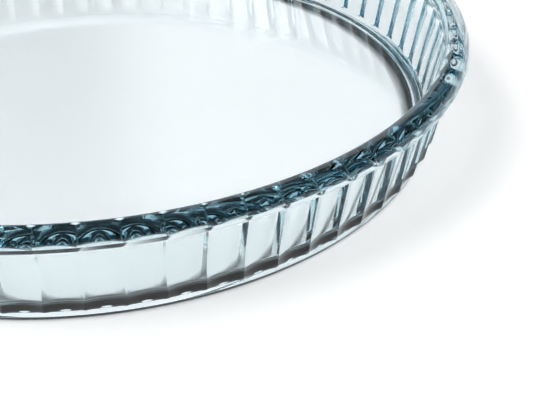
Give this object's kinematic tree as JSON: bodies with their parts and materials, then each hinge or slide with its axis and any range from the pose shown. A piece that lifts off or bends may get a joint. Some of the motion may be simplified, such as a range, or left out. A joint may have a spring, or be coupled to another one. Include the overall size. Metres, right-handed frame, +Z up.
{
  "type": "round fluted glass baking dish",
  "caption": "Shallow round pressed-glass baking dish with a fluted, slightly flared wall, a round flanged rim and a level floor, for tarts and flans.",
  "frame": {"origin": "centre of the foot ring, on the surface that the dish stands on", "axes": "+Z up along the dish's axis; +X through the middle of one flute"},
  "size_m": [0.28, 0.28, 0.036],
  "materials": {
    "glass": "clear polished pressed glass with a faint blue-green tint"
  },
  "bodies": {
    "root": {"glass_dish": "glass"}
  },
  "joints": []
}
